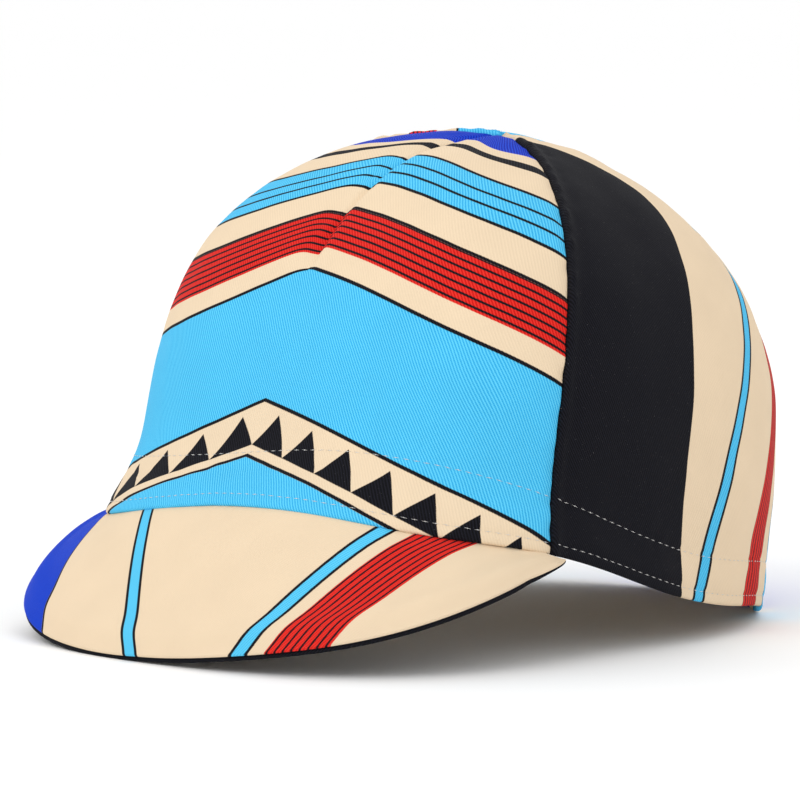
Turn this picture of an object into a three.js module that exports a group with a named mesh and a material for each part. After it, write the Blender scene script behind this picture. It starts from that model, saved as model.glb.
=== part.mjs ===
import * as THREE from 'three';

// A cotton cap: a front panel with a centre dart, two back panels that meet in a centre-back seam,
// and a short curved peak of two plies. Lengths are millimetres and angles are degrees.
// Z is up, the peak looks along -Y and the wearer's left ear is on +X.
// Round the cap, an angle is 0 at the front, 90 at the left ear and 180 at the nape.
// Up the cap, rise is 0 at the hem and 1 at the apex, where the seams meet.

// Head size and crown
const frontReach = 100.5;       // from the line under the apex out to the hem at the forehead
const backReach = 92.5;         // from the same line out to the hem at the nape
const sideReach = 84.5;         // from the same line out to the hem over each ear
const crownHeight = 149;        // from the hem at the nape up to the apex
const frontSquareHem = 2.75;    // how boxy the front is at the hem: 2 is an ellipse
const frontSquareTop = 3.55;    // how boxy it is near the apex
const backSquare = 2;

// Cloth
const wall = 1.2;               // one layer of crown cloth with its turned seams
const hemWall = 2;              // the folded hem
const hemBand = 14;             // height of the folded hem
const seamGap = 0.4;            // between the cut edges of two panels
const seamRoll = 4;             // width over which a panel dips into its seam
const seamDip = 0.8;            // depth of that dip
const dipStart = 0.1;           // the dip begins above the hem at this rise
const dipFull = 0.2;

// Centre dart in the front panel, from the forehead up to the apex
const dartStart = 0.46;         // rise at which it begins
const dartRamp = 0.1;           // rise over which it deepens
const dartHalfWidth = 3;
const dartDepth = 1.2;

// Seams
const earSeamAtHem = 55.8;
const earSeamSway = -2.1;
const earSeamSpread = 14.9;
const backSeamDrift = 17;       // how far the centre-back seam leans towards the left ear
const driftFull = 0.65;         // rise at which it leans that far
const backRidge = 9;            // how far the cloth stands out along the centre-back seam
const backRidgeWidth = 17;      // angle over which it does so
const backRidgeStart = 0.25;    // rise at which the ridge begins
const backRidgeRamp = 0.35;     // rise over which it grows to its full height

// Front hem, which flares out over the peak and droops at its two corners
const flare = 9.5;
const flareRise = 0.114;
const cornerDroop = 5;
const cornerAngle = 36;
const cornerSpread = 20;

// Hem line, in waves round the head: the front is carried by the peak and the nape rests on the table
const hemSwing = 19.7;
const frontTwist = 6.5;         // lifts the hem over the left eye and lowers it over the right
const earTwist = 2.2;           // lowers the hem at the left ear and lifts it at the right
const backSink = 6.5;           // lowers the hem behind both ears
const napeStart = 124;          // the hem begins to sink to the table at this angle, behind the left ear
const napeFlatStart = 145;      // and lies on it from this angle
const napeFlatEnd = 170;        // to this one
const napeLift = 13;            // past there it rises by this much, because the crown leans
const napeLiftSpread = 25;      // angle over which it does so
const napeLeave = 205;          // from this angle it goes back to its free line
const napeEnd = 250;            // which it reaches here, behind the right ear
const crownLean = 5.5;          // how far the crown leans towards the left ear as the cap rests
const crownTip = 0.4;           // and how far it tips back

// Peak
const peakLength = 49.3;        // at the middle, along its slope
const peakCurve = 0.84;         // how quickly it shortens towards its corners
const peakHalfAngle = 56.8;     // angle at which its length would run out
const peakSlopeMiddle = 57.1;   // fall below the level, at the middle
const peakSlopeSide = 28;       // and at its corners
const peakTurn = 0.79;          // 1 fans the peak square to the hem, 0 sends it straight ahead
const peakCamber = 1;
const peakPly = 1;              // thickness of the upper cloth, and of the cloth under it
const plyGap = 0.35;
const rimLip = 0.8;             // how far the lower cloth stands past the upper one at the rim
const peakTuck = 9;             // height of the peak's turned edge inside the hem
const tuckGap = 0.4;
const peakCornerGap = 0.8;      // angle left clear between the peak's corner and the ear seam
const restFlat = 0.5;           // how much of the rim the table presses flat

// Mesh density
const hemRows = 3;
const crownRows = 12;
const stepRise = 0.012;         // the hem's upper edge steps back to one layer over this rise
const topRise = 0.972;          // last row below the apex
const tipReach = 0.4;           // from the apex to each panel's tip
const frontColumns = 12;        // on each side of the dart
const backColumns = 17;
const peakColumns = 28;
const peakRows = 5;
const normalAngleStep = 0.4;    // steps over which the cloth's facing is measured
const normalRiseStep = 0.004;
const widestRollShare = 0.2;    // of half the front panel, or of a back panel, that a seam's dip may take
const widestGapAngle = 4;       // that half a seam's gap may take near the apex

// Crown sections from the hem to the apex: the height as a share of the way from hem to apex,
// and each reach as a share of the reach at the hem
const sections = [
  { height: 0.00, front: 1.000, back: 1.000, side: 1.000 },
  { height: 0.12, front: 0.952, back: 1.012, side: 1.015 },
  { height: 0.30, front: 0.907, back: 1.021, side: 1.028 },
  { height: 0.50, front: 0.840, back: 0.978, side: 0.999 },
  { height: 0.68, front: 0.748, back: 0.841, side: 0.897 },
  { height: 0.83, front: 0.604, back: 0.615, side: 0.710 },
  { height: 0.94, front: 0.408, back: 0.339, side: 0.460 },
  { height: 0.99, front: 0.186, back: 0.124, side: 0.206 },
  { height: 1.00, front: 0.000, back: 0.000, side: 0.000 },
];

// Waves of the hem line round the head, as shares of its swing
const hemWaves = [
  { turns: 1, share: 1.00 },
  { turns: 2, share: -0.08 },
  { turns: 3, share: 0.15 },
  { turns: 4, share: -0.10 },
  { turns: 5, share: -0.02 },
];

const halfTurn = 180;
const fullTurn = 2 * halfTurn;
const degree = Math.PI / halfTurn;

function ease(from, to, value) {
  return THREE.MathUtils.smoothstep(value, from, to);
}

function bell(distance, width) {
  return Math.exp(-((distance / width) ** 2));
}

// One column of the section table at a rise, on a smooth curve through its rows
function sectionValue(column, rise) {
  const last = sections.length - 1;
  const place = Math.min(Math.max(rise, 0), 1) * last;
  const row = Math.min(Math.floor(place), last - 1);
  const part = place - row;
  const here = sections[row][column];
  const next = sections[row + 1][column];
  const mirrored = column === 'height' ? 1 : -1;
  const before = row > 0 ? sections[row - 1][column] : 2 * here - next;
  const after = row + 2 <= last ? sections[row + 2][column] : mirrored * here;
  const slope = next - before;
  const bend = 2 * before - 5 * here + 4 * next - after;
  const turn = -before + 3 * here - 3 * next + after;
  return 0.5 * (2 * here + slope * part + bend * part ** 2 + turn * part ** 3);
}

// Signed angle in the range -180 to 180
function wrapped(angle) {
  return THREE.MathUtils.euclideanModulo(angle + halfTurn, fullTurn) - halfTurn;
}

function hemWaveHeight(angle) {
  const around = wrapped(angle) * degree;
  let swing = 0;
  for (const wave of hemWaves) {
    swing += wave.share * (Math.cos(wave.turns * around) - Math.cos(wave.turns * Math.PI));
  }
  const quarters = Math.sin(2 * around);
  const sides = Math.cos(around) > 0 ? frontTwist * quarters : -backSink * Math.abs(quarters);
  return hemSwing * swing + sides + earTwist * Math.sin(3 * around);
}

function earSeam(rise) {
  return earSeamAtHem + earSeamSway * rise + earSeamSpread * rise ** 2;
}

function backSeam(rise) {
  return halfTurn - backSeamDrift * ease(0, driftFull, rise);
}

// Distance from the line under the apex to the cloth
function crownReach(angle, rise) {
  const forward = Math.cos(angle * degree);
  const sideways = Math.sin(angle * degree);
  const atFront = forward > 0;
  const square = atFront ? frontSquareHem + (frontSquareTop - frontSquareHem) * rise : backSquare;
  const along = atFront ? frontReach * sectionValue('front', rise) : backReach * sectionValue('back', rise);
  const across = sideReach * sectionValue('side', rise);
  const forwardShare = (Math.abs(forward) / along) ** square;
  const sideShare = (Math.abs(sideways) / across) ** square;
  const offSeam = wrapped(angle - (halfTurn - backSeamDrift));
  const ridgeShare = THREE.MathUtils.clamp((rise - backRidgeStart) / backRidgeRamp, 0, 1);
  const ridge = (backRidge / backReach) * ridgeShare * bell(offSeam, backRidgeWidth);
  return (forwardShare + sideShare) ** (-1 / square) * (1 + ridge);
}

function makeCrownPoint(hemHeight) {
  return (angle, rise) => {
    const flaring = bell(rise, flareRise);
    const facing = Math.cos(angle * degree);
    const reach = crownReach(angle, rise) + flare * flaring * (0.5 + 0.5 * facing);
    const hem = hemHeight(angle);
    const droop = cornerDroop * flaring * bell(Math.abs(wrapped(angle)) - cornerAngle, cornerSpread);
    const height = hem + sectionValue('height', rise) * (crownHeight - hem) - droop;
    return new THREE.Vector3(reach * Math.sin(angle * degree), -reach * facing, height);
  };
}

// Direction square to the cloth, away from the head
function crownNormal(point, angle, rise) {
  const low = THREE.MathUtils.clamp(rise - normalRiseStep, 0, 1 - 3 * normalRiseStep);
  const middle = low + normalRiseStep;
  const round = point(angle + normalAngleStep, middle).sub(point(angle - normalAngleStep, middle));
  const upward = point(angle, middle + normalRiseStep).sub(point(angle, low));
  return round.cross(upward).normalize();
}

// Peak: directions of its slope and square to it, at an angle round the head
function peakFrame(angle) {
  const share = Math.min(Math.abs(angle) / peakHalfAngle, 1);
  const slope = (peakSlopeMiddle + (peakSlopeSide - peakSlopeMiddle) * share ** 2) * degree;
  const hemTurn = Math.atan2(frontReach * Math.sin(angle * degree), sideReach * Math.cos(angle * degree));
  const heading = peakTurn * hemTurn;
  const outX = Math.sin(heading);
  const outY = -Math.cos(heading);
  return {
    slope,
    length: peakLength * (1 - share ** 2) ** peakCurve,
    down: new THREE.Vector3(outX * Math.cos(slope), outY * Math.cos(slope), -Math.sin(slope)),
    up: new THREE.Vector3(outX * Math.sin(slope), outY * Math.sin(slope), Math.cos(slope)),
  };
}

const peakEnd = earSeamAtHem - peakCornerGap;

// The hem's lower edge over the peak is cut to the peak's slope: rise of its inner edge
function bevelRise(angle, hemHeight) {
  const frame = peakFrame(Math.min(Math.abs(angle), peakEnd));
  return (hemWall * Math.tan(frame.slope)) / (crownHeight - hemHeight(angle));
}

// Points of the peak at an angle, from the rim up to the edge tucked inside the hem.
// Depth is how far the points lie below the peak's upper face.
function peakSection(point, hemHeight, angle, depth, lip) {
  const frame = peakFrame(angle);
  const line = [];
  const root = point(angle, 0).addScaledVector(frame.up, -tuckGap - depth);
  for (let row = peakRows; row >= 0; row--) {
    const share = row / peakRows;
    const along = frame.length * share + (row === peakRows ? lip : 0);
    const camber = peakCamber * 4 * share * (1 - share);
    line.push(root.clone().addScaledVector(frame.down, along).addScaledVector(frame.up, camber));
  }
  const bend = bevelRise(angle, hemHeight);
  const bendNormal = crownNormal(point, angle, bend);
  const mitre = frame.up.clone().add(bendNormal);
  mitre.divideScalar(1 + frame.up.dot(bendNormal));
  const inner = point(angle, bend).addScaledVector(bendNormal, -hemWall);
  line.push(inner.addScaledVector(mitre, -tuckGap - depth));
  const top = peakTuck / (crownHeight - hemHeight(angle));
  const topNormal = crownNormal(point, angle, top);
  line.push(point(angle, top).addScaledVector(topNormal, -hemWall - tuckGap - depth));
  return line;
}

function peakAngles() {
  const angles = [];
  for (let column = 0; column <= peakColumns; column++) {
    const share = (2 * column) / peakColumns - 1;
    angles.push(peakEnd * Math.sin((share * Math.PI) / 2));
  }
  return angles;
}

function peakGrid(point, hemHeight, depth, lip) {
  const lines = peakAngles().map((angle) => peakSection(point, hemHeight, angle, depth, lip));
  return lines[0].map((_, row) => lines.map((line) => line[row]));
}

const undersideTop = peakPly + plyGap;
const undersideBottom = undersideTop + peakPly;

// The cap is shaped upright, over a table that slopes as the crown leans and tips: its height for each
// unit of X and of Y
const tableSlope = Math.tan(crownLean * degree);
const tableRise = Math.tan(crownTip * degree);

// The table is at the level that presses the lowest stretch of the rim flat
function tableLevel() {
  const point = makeCrownPoint(hemWaveHeight);
  const rim = peakGrid(point, hemWaveHeight, undersideBottom, rimLip)[0];
  return Math.min(...rim.map(({ x, y, z }) => z - x * tableSlope - y * tableRise)) + restFlat;
}

const table = tableLevel();

function tableHeight(x, y) {
  return table + x * tableSlope + y * tableRise;
}

// Angle from the front round by the left ear, from 0 to a full turn
function leftwards(angle) {
  return THREE.MathUtils.euclideanModulo(angle, fullTurn);
}

function liesOnTable(angle) {
  return leftwards(angle) >= napeFlatStart && leftwards(angle) <= napeFlatEnd;
}

// At the nape the hem leaves its free line for the table, and then for a line that rises off the table
function hemHeight(angle) {
  const around = leftwards(angle);
  const free = hemWaveHeight(angle);
  const reach = crownReach(angle, 0);
  const under = tableHeight(reach * Math.sin(angle * degree), -reach * Math.cos(angle * degree));
  const past = Math.max(around - napeFlatEnd, 0);
  const nape = under + napeLift * (1 - bell(past, napeLiftSpread));
  const share = ease(napeStart, napeFlatStart, around) * (1 - ease(napeLeave, napeEnd, around));
  return free + (nape - free) * share;
}

const crownPoint = makeCrownPoint(hemHeight);

// A closed body between two grids of points, the first outside and the second inside.
// Each grid is a list of rows, and a last row of one point closes it in a tip.
function bodyBetween(outer, inner) {
  const positions = [];
  const numberGrid = (grid) => grid.map((row) => row.map((place) => {
    positions.push(place.x, place.y, place.z);
    return positions.length / 3 - 1;
  }));
  const outside = numberGrid(outer);
  const inside = numberGrid(inner);
  const triangles = [];
  const triangle = (a, b, c) => {
    if (a !== b && b !== c && c !== a) triangles.push(a, b, c);
  };
  const quad = (a, b, c, d) => {
    triangle(a, b, c);
    triangle(a, c, d);
  };
  const at = (grid, row, column) => grid[row][Math.min(column, grid[row].length - 1)];
  const lastRow = outside.length - 1;
  const lastColumn = outside[0].length - 1;
  for (let row = 0; row < lastRow; row++) {
    for (let column = 0; column < lastColumn; column++) {
      const here = [row, column];
      const right = [row, column + 1];
      const across = [row + 1, column + 1];
      const above = [row + 1, column];
      quad(at(outside, ...here), at(outside, ...right), at(outside, ...across), at(outside, ...above));
      quad(at(inside, ...above), at(inside, ...across), at(inside, ...right), at(inside, ...here));
    }
    quad(at(outside, row, 0), at(outside, row + 1, 0), at(inside, row + 1, 0), at(inside, row, 0));
    quad(
      at(outside, row + 1, lastColumn), at(outside, row, lastColumn),
      at(inside, row, lastColumn), at(inside, row + 1, lastColumn),
    );
  }
  for (let column = 0; column < lastColumn; column++) {
    quad(
      at(outside, 0, column + 1), at(outside, 0, column),
      at(inside, 0, column), at(inside, 0, column + 1),
    );
    quad(
      at(outside, lastRow, column), at(outside, lastRow, column + 1),
      at(inside, lastRow, column + 1), at(inside, lastRow, column),
    );
  }
  const geometry = new THREE.BufferGeometry();
  geometry.setAttribute('position', new THREE.Float32BufferAttribute(positions, 3));
  geometry.setIndex(triangles);
  geometry.computeVertexNormals();
  return geometry;
}

// Rises of a panel's rows at an angle. The hem's rows start at the given rise.
function rowRises(angle, start) {
  const band = hemBand / (crownHeight - hemHeight(angle));
  const rises = [];
  for (let row = 0; row <= hemRows; row++) {
    rises.push(start + ((band - start) * row) / hemRows);
  }
  const shoulder = band + stepRise;
  for (let row = 0; row <= crownRows; row++) {
    rises.push(shoulder + ((topRise - shoulder) * row) / crownRows);
  }
  return rises;
}

function rowThickness(row) {
  return row <= hemRows ? hemWall : wall;
}

function spread(from, to, count) {
  const values = [];
  for (let step = 0; step < count; step++) {
    values.push(from + ((to - from) * step) / (count - 1));
  }
  return values;
}

// Angle that a length along the cloth takes up, and no more than the most it may
function angleOf(length, angle, rise, most) {
  return Math.min(length / crownReach(angle, rise) / degree, most);
}

function seamDipAt(rise) {
  return seamDip * ease(dipStart, dipFull, rise);
}

// Columns of a panel at a rise: the angle of each, and how far it dips below the crown's surface
function frontColumnsAt(rise) {
  const edge = earSeam(rise) - angleOf(seamGap / 2, earSeam(rise), rise, widestGapAngle);
  const roll = angleOf(seamRoll, edge, rise, widestRollShare * edge);
  const shoulder = angleOf(dartHalfWidth, 0, rise, widestRollShare * edge);
  const dart = dartDepth * THREE.MathUtils.clamp((rise - dartStart) / dartRamp, 0, 1);
  const half = spread(shoulder, edge - roll, frontColumns);
  const left = half.map((angle) => ({ angle, dip: 0 }));
  const right = half.map((angle) => ({ angle: -angle, dip: 0 })).reverse();
  return [
    { angle: -edge, dip: seamDipAt(rise) },
    ...right,
    { angle: 0, dip: dart },
    ...left,
    { angle: edge, dip: seamDipAt(rise) },
  ];
}

function backColumnsAt(rise, from, to) {
  const start = from + angleOf(seamGap / 2, from, rise, widestGapAngle);
  const end = to - angleOf(seamGap / 2, to, rise, widestGapAngle);
  const widestRoll = widestRollShare * (end - start);
  const rollStart = angleOf(seamRoll, start, rise, widestRoll);
  const rollEnd = angleOf(seamRoll, end, rise, widestRoll);
  const middle = spread(start + rollStart, end - rollEnd, backColumns);
  return [
    { angle: start, dip: seamDipAt(rise) },
    ...middle.map((angle) => ({ angle, dip: 0 })),
    { angle: end, dip: seamDipAt(rise) },
  ];
}

// Puts the last point of each row exactly on the table
function layOnTable(...rows) {
  for (const row of rows) row.at(-1).z = tableHeight(row.at(-1).x, row.at(-1).y);
}

// A panel's solid: columnsAt gives its columns at a rise, and bevelled says that its hem sits on the peak
function panelGeometry(columnsAt, bevelled) {
  const columnCount = columnsAt(0).length;
  const outer = [];
  const inner = [];
  const rowCount = rowRises(0, 0).length;
  for (let row = 0; row < rowCount; row++) {
    const outerRow = [];
    const innerRow = [];
    for (let column = 0; column < columnCount; column++) {
      const hemAngle = columnsAt(0)[column].angle;
      const place = (rise) => {
        const { angle, dip } = columnsAt(rise)[column];
        return { angle, dip, normal: crownNormal(crownPoint, angle, rise) };
      };
      const rise = rowRises(hemAngle, 0)[row];
      const out = place(rise);
      outerRow.push(crownPoint(out.angle, rise).addScaledVector(out.normal, -out.dip));
      const innerRise = rowRises(hemAngle, bevelled ? bevelRise(hemAngle, hemHeight) : 0)[row];
      const back = place(innerRise);
      const depth = back.dip + rowThickness(row);
      innerRow.push(crownPoint(back.angle, innerRise).addScaledVector(back.normal, -depth));
      if (row === 0 && liesOnTable(hemAngle)) layOnTable(outerRow, innerRow);
    }
    outer.push(outerRow);
    inner.push(innerRow);
  }
  const top = columnsAt(topRise);
  const bisector = ((top[0].angle + top[columnCount - 1].angle) / 2) * degree;
  const tip = new THREE.Vector3(tipReach * Math.sin(bisector), -tipReach * Math.cos(bisector), crownHeight);
  outer.push([tip]);
  inner.push([tip.clone().setZ(crownHeight - wall)]);
  return bodyBetween(outer, inner);
}

function cloth(colour) {
  return new THREE.MeshStandardMaterial({ color: colour, roughness: 0.9, metalness: 0 });
}

function piece(name, geometry, colour) {
  const mesh = new THREE.Mesh(geometry, cloth(colour));
  mesh.name = name;
  return mesh;
}

function frontPanel() {
  return piece('front_panel', panelGeometry(frontColumnsAt, true), 0x5bc0fa);
}

function leftBackPanel() {
  const columnsAt = (rise) => backColumnsAt(rise, earSeam(rise), backSeam(rise));
  return piece('back_panel_left', panelGeometry(columnsAt, false), 0x26242b);
}

function rightBackPanel() {
  const columnsAt = (rise) => backColumnsAt(rise, backSeam(rise), fullTurn - earSeam(rise));
  return piece('back_panel_right', panelGeometry(columnsAt, false), 0xf2dfc2);
}

function peakTop() {
  const upper = peakGrid(crownPoint, hemHeight, 0, 0);
  const lower = peakGrid(crownPoint, hemHeight, peakPly, 0);
  return piece('peak_top', bodyBetween(upper, lower), 0xf2dfc2);
}

function peakUnderside() {
  const upper = peakGrid(crownPoint, hemHeight, undersideTop, rimLip);
  const lower = peakGrid(crownPoint, hemHeight, undersideBottom, rimLip);
  for (const place of [...upper, ...lower].flat()) {
    place.z = Math.max(place.z, tableHeight(place.x, place.y));
  }
  return piece('peak_underside', bodyBetween(upper, lower), 0x26242b);
}

// The cap leans and tips with the table level, and the origin is on the table under the cap's middle
function standOnTable(group) {
  const lean = crownLean * degree;
  group.rotation.set(-Math.atan(tableRise * Math.cos(lean)), lean, 0);
  const box = new THREE.Box3().setFromObject(group, true);
  group.position.set(-(box.min.x + box.max.x) / 2, -(box.min.y + box.max.y) / 2, -box.min.z);
}

const cap = new THREE.Group();
cap.add(frontPanel(), leftBackPanel(), rightBackPanel(), peakTop(), peakUnderside());
standOnTable(cap);

export default cap;
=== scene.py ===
import math

import bpy
import numpy as np
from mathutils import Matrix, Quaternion, Vector


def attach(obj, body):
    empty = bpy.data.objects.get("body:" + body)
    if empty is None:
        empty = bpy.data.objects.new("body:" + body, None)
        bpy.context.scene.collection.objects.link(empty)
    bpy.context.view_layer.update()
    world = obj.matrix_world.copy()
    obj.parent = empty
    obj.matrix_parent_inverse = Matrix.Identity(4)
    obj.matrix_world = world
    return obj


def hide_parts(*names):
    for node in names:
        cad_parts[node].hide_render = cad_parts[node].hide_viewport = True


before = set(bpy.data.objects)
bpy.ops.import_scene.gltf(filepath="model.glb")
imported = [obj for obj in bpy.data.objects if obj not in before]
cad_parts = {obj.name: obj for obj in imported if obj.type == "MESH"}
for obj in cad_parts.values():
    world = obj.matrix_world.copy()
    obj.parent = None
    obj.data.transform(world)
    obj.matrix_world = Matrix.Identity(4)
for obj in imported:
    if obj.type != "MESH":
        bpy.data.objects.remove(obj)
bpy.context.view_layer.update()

# Lengths are millimetres and angles are degrees until a piece is placed in the frame.
# Round the cap, an angle is 0 at the front, 90 at the left ear and 180 at the nape.
# Up the cap, rise is 0 at the hem and 1 at the apex, where the seams meet.

MM = 0.001
DEGREE = math.pi / 180

# Crown
FRONT_REACH = 100.5
BACK_REACH = 92.5
SIDE_REACH = 84.5
CROWN_HEIGHT = 149
FRONT_SQUARE_HEM = 2.75
FRONT_SQUARE_TOP = 3.55
BACK_SQUARE = 2
SECTIONS = {
    "height": [0.00, 0.12, 0.30, 0.50, 0.68, 0.83, 0.94, 0.99, 1.00],
    "front": [1.000, 0.952, 0.907, 0.840, 0.748, 0.604, 0.408, 0.186, 0.000],
    "back": [1.000, 1.012, 1.021, 0.978, 0.841, 0.615, 0.339, 0.124, 0.000],
    "side": [1.000, 1.015, 1.028, 0.999, 0.897, 0.710, 0.460, 0.206, 0.000],
}
WALL = 1.2
HEM_WALL = 2

# Seams
EAR_SEAM_AT_HEM = 55.8
EAR_SEAM_SWAY = -2.1
EAR_SEAM_SPREAD = 14.9
BACK_SEAM_DRIFT = 17
DRIFT_FULL = 0.65
BACK_RIDGE = 9
BACK_RIDGE_WIDTH = 17
BACK_RIDGE_START = 0.25
BACK_RIDGE_RAMP = 0.35
DART_FOOT = 76

# Hem line
FLARE = 9.5
FLARE_RISE = 0.114
CORNER_DROOP = 5
CORNER_ANGLE = 36
CORNER_SPREAD = 20
HEM_SWING = 19.7
HEM_WAVES = [(1, 1.00), (2, -0.08), (3, 0.15), (4, -0.10), (5, -0.02)]
FRONT_TWIST = 6.5
EAR_TWIST = 2.2
BACK_SINK = 6.5
NAPE_START = 124
NAPE_FLAT_START = 145
NAPE_FLAT_END = 170
NAPE_LIFT = 13
NAPE_LIFT_SPREAD = 25
NAPE_LEAVE = 205
NAPE_END = 250
CROWN_LEAN = 5.5
CROWN_TIP = 0.4

# Peak
PEAK_LENGTH = 49.3
PEAK_CURVE = 0.84
PEAK_HALF_ANGLE = 56.8
PEAK_SLOPE_MIDDLE = 57.1
PEAK_SLOPE_SIDE = 28
PEAK_TURN = 0.79
PEAK_CAMBER = 1
PEAK_PLY = 1
PLY_GAP = 0.35
RIM_LIP = 0.8
PEAK_TUCK = 9
TUCK_GAP = 0.4
PEAK_CORNER_GAP = 0.8
REST_FLAT = 0.5
PEAK_END = EAR_SEAM_AT_HEM - PEAK_CORNER_GAP
UNDERSIDE_TOP = PEAK_PLY + PLY_GAP
UNDERSIDE_BOTTOM = UNDERSIDE_TOP + PEAK_PLY
RIM_COLUMNS = 28
RIM_BULGE = 1.3

# Where the crown's upright line stands in the frame
CROWN_PLACE = np.array([-3.072, 20.910, -1.715])

# Stitch rows of the hem, above its lower edge
STITCH_ROWS = [3.6, 14.6]

NORMAL_ANGLE_STEP = 0.4
NORMAL_RISE_STEP = 0.004


def ease(low, high, value):
    share = np.clip((value - low) / (high - low), 0, 1)
    return share * share * (3 - 2 * share)


def bell(distance, width):
    return np.exp(-((distance / width) ** 2))


def wrapped(angle):
    return np.mod(angle + 180, 360) - 180


def section_value(column, rise):
    """A column of the table of sections at a rise, on a smooth curve through its values"""
    rows = np.array(SECTIONS[column])
    mirrored = 1 if column == "height" else -1
    rows = np.concatenate([[2 * rows[0] - rows[1]], rows, [mirrored * rows[-2]]])
    place = np.clip(rise, 0, 1) * (len(rows) - 3)
    row = np.minimum(np.floor(place).astype(int), len(rows) - 4)
    part = place - row
    before, here, following, after = (rows[row + step] for step in range(4))
    slope = following - before
    curve = 2 * before - 5 * here + 4 * following - after
    turn = -before + 3 * here - 3 * following + after
    return 0.5 * (2 * here + slope * part + curve * part ** 2 + turn * part ** 3)


def hem_wave_height(angle):
    """Height of the free hem round the crown"""
    around = wrapped(angle) * DEGREE
    swing = sum(
        share * (np.cos(turns * around) - math.cos(turns * math.pi)) for turns, share in HEM_WAVES
    )
    quarters = np.sin(2 * around)
    sides = np.where(np.cos(around) > 0, FRONT_TWIST * quarters, -BACK_SINK * np.abs(quarters))
    return HEM_SWING * swing + sides + EAR_TWIST * np.sin(3 * around)


def ear_seam(rise):
    return EAR_SEAM_AT_HEM + EAR_SEAM_SWAY * rise + EAR_SEAM_SPREAD * rise ** 2


def back_seam(rise):
    return 180 - BACK_SEAM_DRIFT * ease(0, DRIFT_FULL, rise)


def crown_reach(angle, rise):
    forward = np.cos(angle * DEGREE)
    sideways = np.sin(angle * DEGREE)
    at_front = forward > 0
    square = np.where(at_front, FRONT_SQUARE_HEM + (FRONT_SQUARE_TOP - FRONT_SQUARE_HEM) * rise, BACK_SQUARE)
    front = FRONT_REACH * section_value("front", rise)
    back = BACK_REACH * section_value("back", rise)
    along = np.maximum(np.where(at_front, front, back), 1e-4)
    across = np.maximum(SIDE_REACH * section_value("side", rise), 1e-4)
    shares = (np.abs(forward) / along) ** square + (np.abs(sideways) / across) ** square
    off_seam = wrapped(angle - (180 - BACK_SEAM_DRIFT))
    grown = np.clip((rise - BACK_RIDGE_START) / BACK_RIDGE_RAMP, 0, 1)
    ridge = BACK_RIDGE / BACK_REACH * grown * bell(off_seam, BACK_RIDGE_WIDTH)
    return shares ** (-1 / square) * (1 + ridge)


def crown_surface(angle, rise, hem):
    """Points of the cloth's outside over a hem of the given height"""
    flaring = bell(rise, FLARE_RISE)
    facing = np.cos(angle * DEGREE)
    reach = crown_reach(angle, rise) + FLARE * flaring * (0.5 + 0.5 * facing)
    droop = CORNER_DROOP * flaring * bell(np.abs(wrapped(angle)) - CORNER_ANGLE, CORNER_SPREAD)
    height = hem + section_value("height", rise) * (CROWN_HEIGHT - hem) - droop
    return np.stack([reach * np.sin(angle * DEGREE), -reach * facing, height], axis=-1)


def unit(vectors):
    return vectors / np.linalg.norm(vectors, axis=-1, keepdims=True)


def cloth_normal(point, angle, rise):
    low = np.clip(rise - NORMAL_RISE_STEP, 0, 1 - 3 * NORMAL_RISE_STEP)
    middle = low + NORMAL_RISE_STEP
    around = point(angle + NORMAL_ANGLE_STEP, middle) - point(angle - NORMAL_ANGLE_STEP, middle)
    upward = point(angle, middle + NORMAL_RISE_STEP) - point(angle, low)
    return unit(np.cross(around, upward))


def peak_frame(angle):
    """The peak's slope and length at an angle, and its ways out along the cloth and up from it"""
    share = np.minimum(np.abs(angle) / PEAK_HALF_ANGLE, 1)
    slope = (PEAK_SLOPE_MIDDLE + (PEAK_SLOPE_SIDE - PEAK_SLOPE_MIDDLE) * share ** 2) * DEGREE
    across = FRONT_REACH * np.sin(angle * DEGREE)
    heading = PEAK_TURN * np.arctan2(across, SIDE_REACH * np.cos(angle * DEGREE))
    out_x, out_y = np.sin(heading), -np.cos(heading)
    length = PEAK_LENGTH * (1 - share ** 2) ** PEAK_CURVE
    down = np.stack([out_x * np.cos(slope), out_y * np.cos(slope), -np.sin(slope)], axis=-1)
    up = np.stack([out_x * np.sin(slope), out_y * np.sin(slope), np.cos(slope)], axis=-1)
    return slope, length, down, up


def wave_point(angle, rise):
    return crown_surface(angle, rise, hem_wave_height(angle))


def table_level():
    """Height of the table under the crown's upright line, with the peak's rim resting on it"""
    steps = 2 * np.arange(RIM_COLUMNS + 1) / RIM_COLUMNS - 1
    angles = PEAK_END * np.sin(steps * math.pi / 2)
    slope, length, down, up = peak_frame(angles)
    rim = wave_point(angles, np.zeros_like(angles)) - up * (TUCK_GAP + UNDERSIDE_BOTTOM)
    rim = rim + down * (length + RIM_LIP)[:, None]
    return np.min(rim[:, 2] - rim[:, 0] * TABLE_SLOPE - rim[:, 1] * TABLE_RISE) + REST_FLAT


TABLE_SLOPE = math.tan(CROWN_LEAN * DEGREE)
TABLE_RISE = math.tan(CROWN_TIP * DEGREE)
TABLE = table_level()


def table_height(x, y):
    return TABLE + x * TABLE_SLOPE + y * TABLE_RISE


def hem_height(angle):
    around = np.mod(angle, 360)
    free = hem_wave_height(angle)
    reach = crown_reach(angle, np.zeros_like(angle))
    under = table_height(reach * np.sin(angle * DEGREE), -reach * np.cos(angle * DEGREE))
    past = np.maximum(around - NAPE_FLAT_END, 0)
    nape = under + NAPE_LIFT * (1 - bell(past, NAPE_LIFT_SPREAD))
    share = ease(NAPE_START, NAPE_FLAT_START, around) * (1 - ease(NAPE_LEAVE, NAPE_END, around))
    return free + (nape - free) * share


def crown_point(angle, rise):
    return crown_surface(angle, rise, hem_height(angle))


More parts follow.
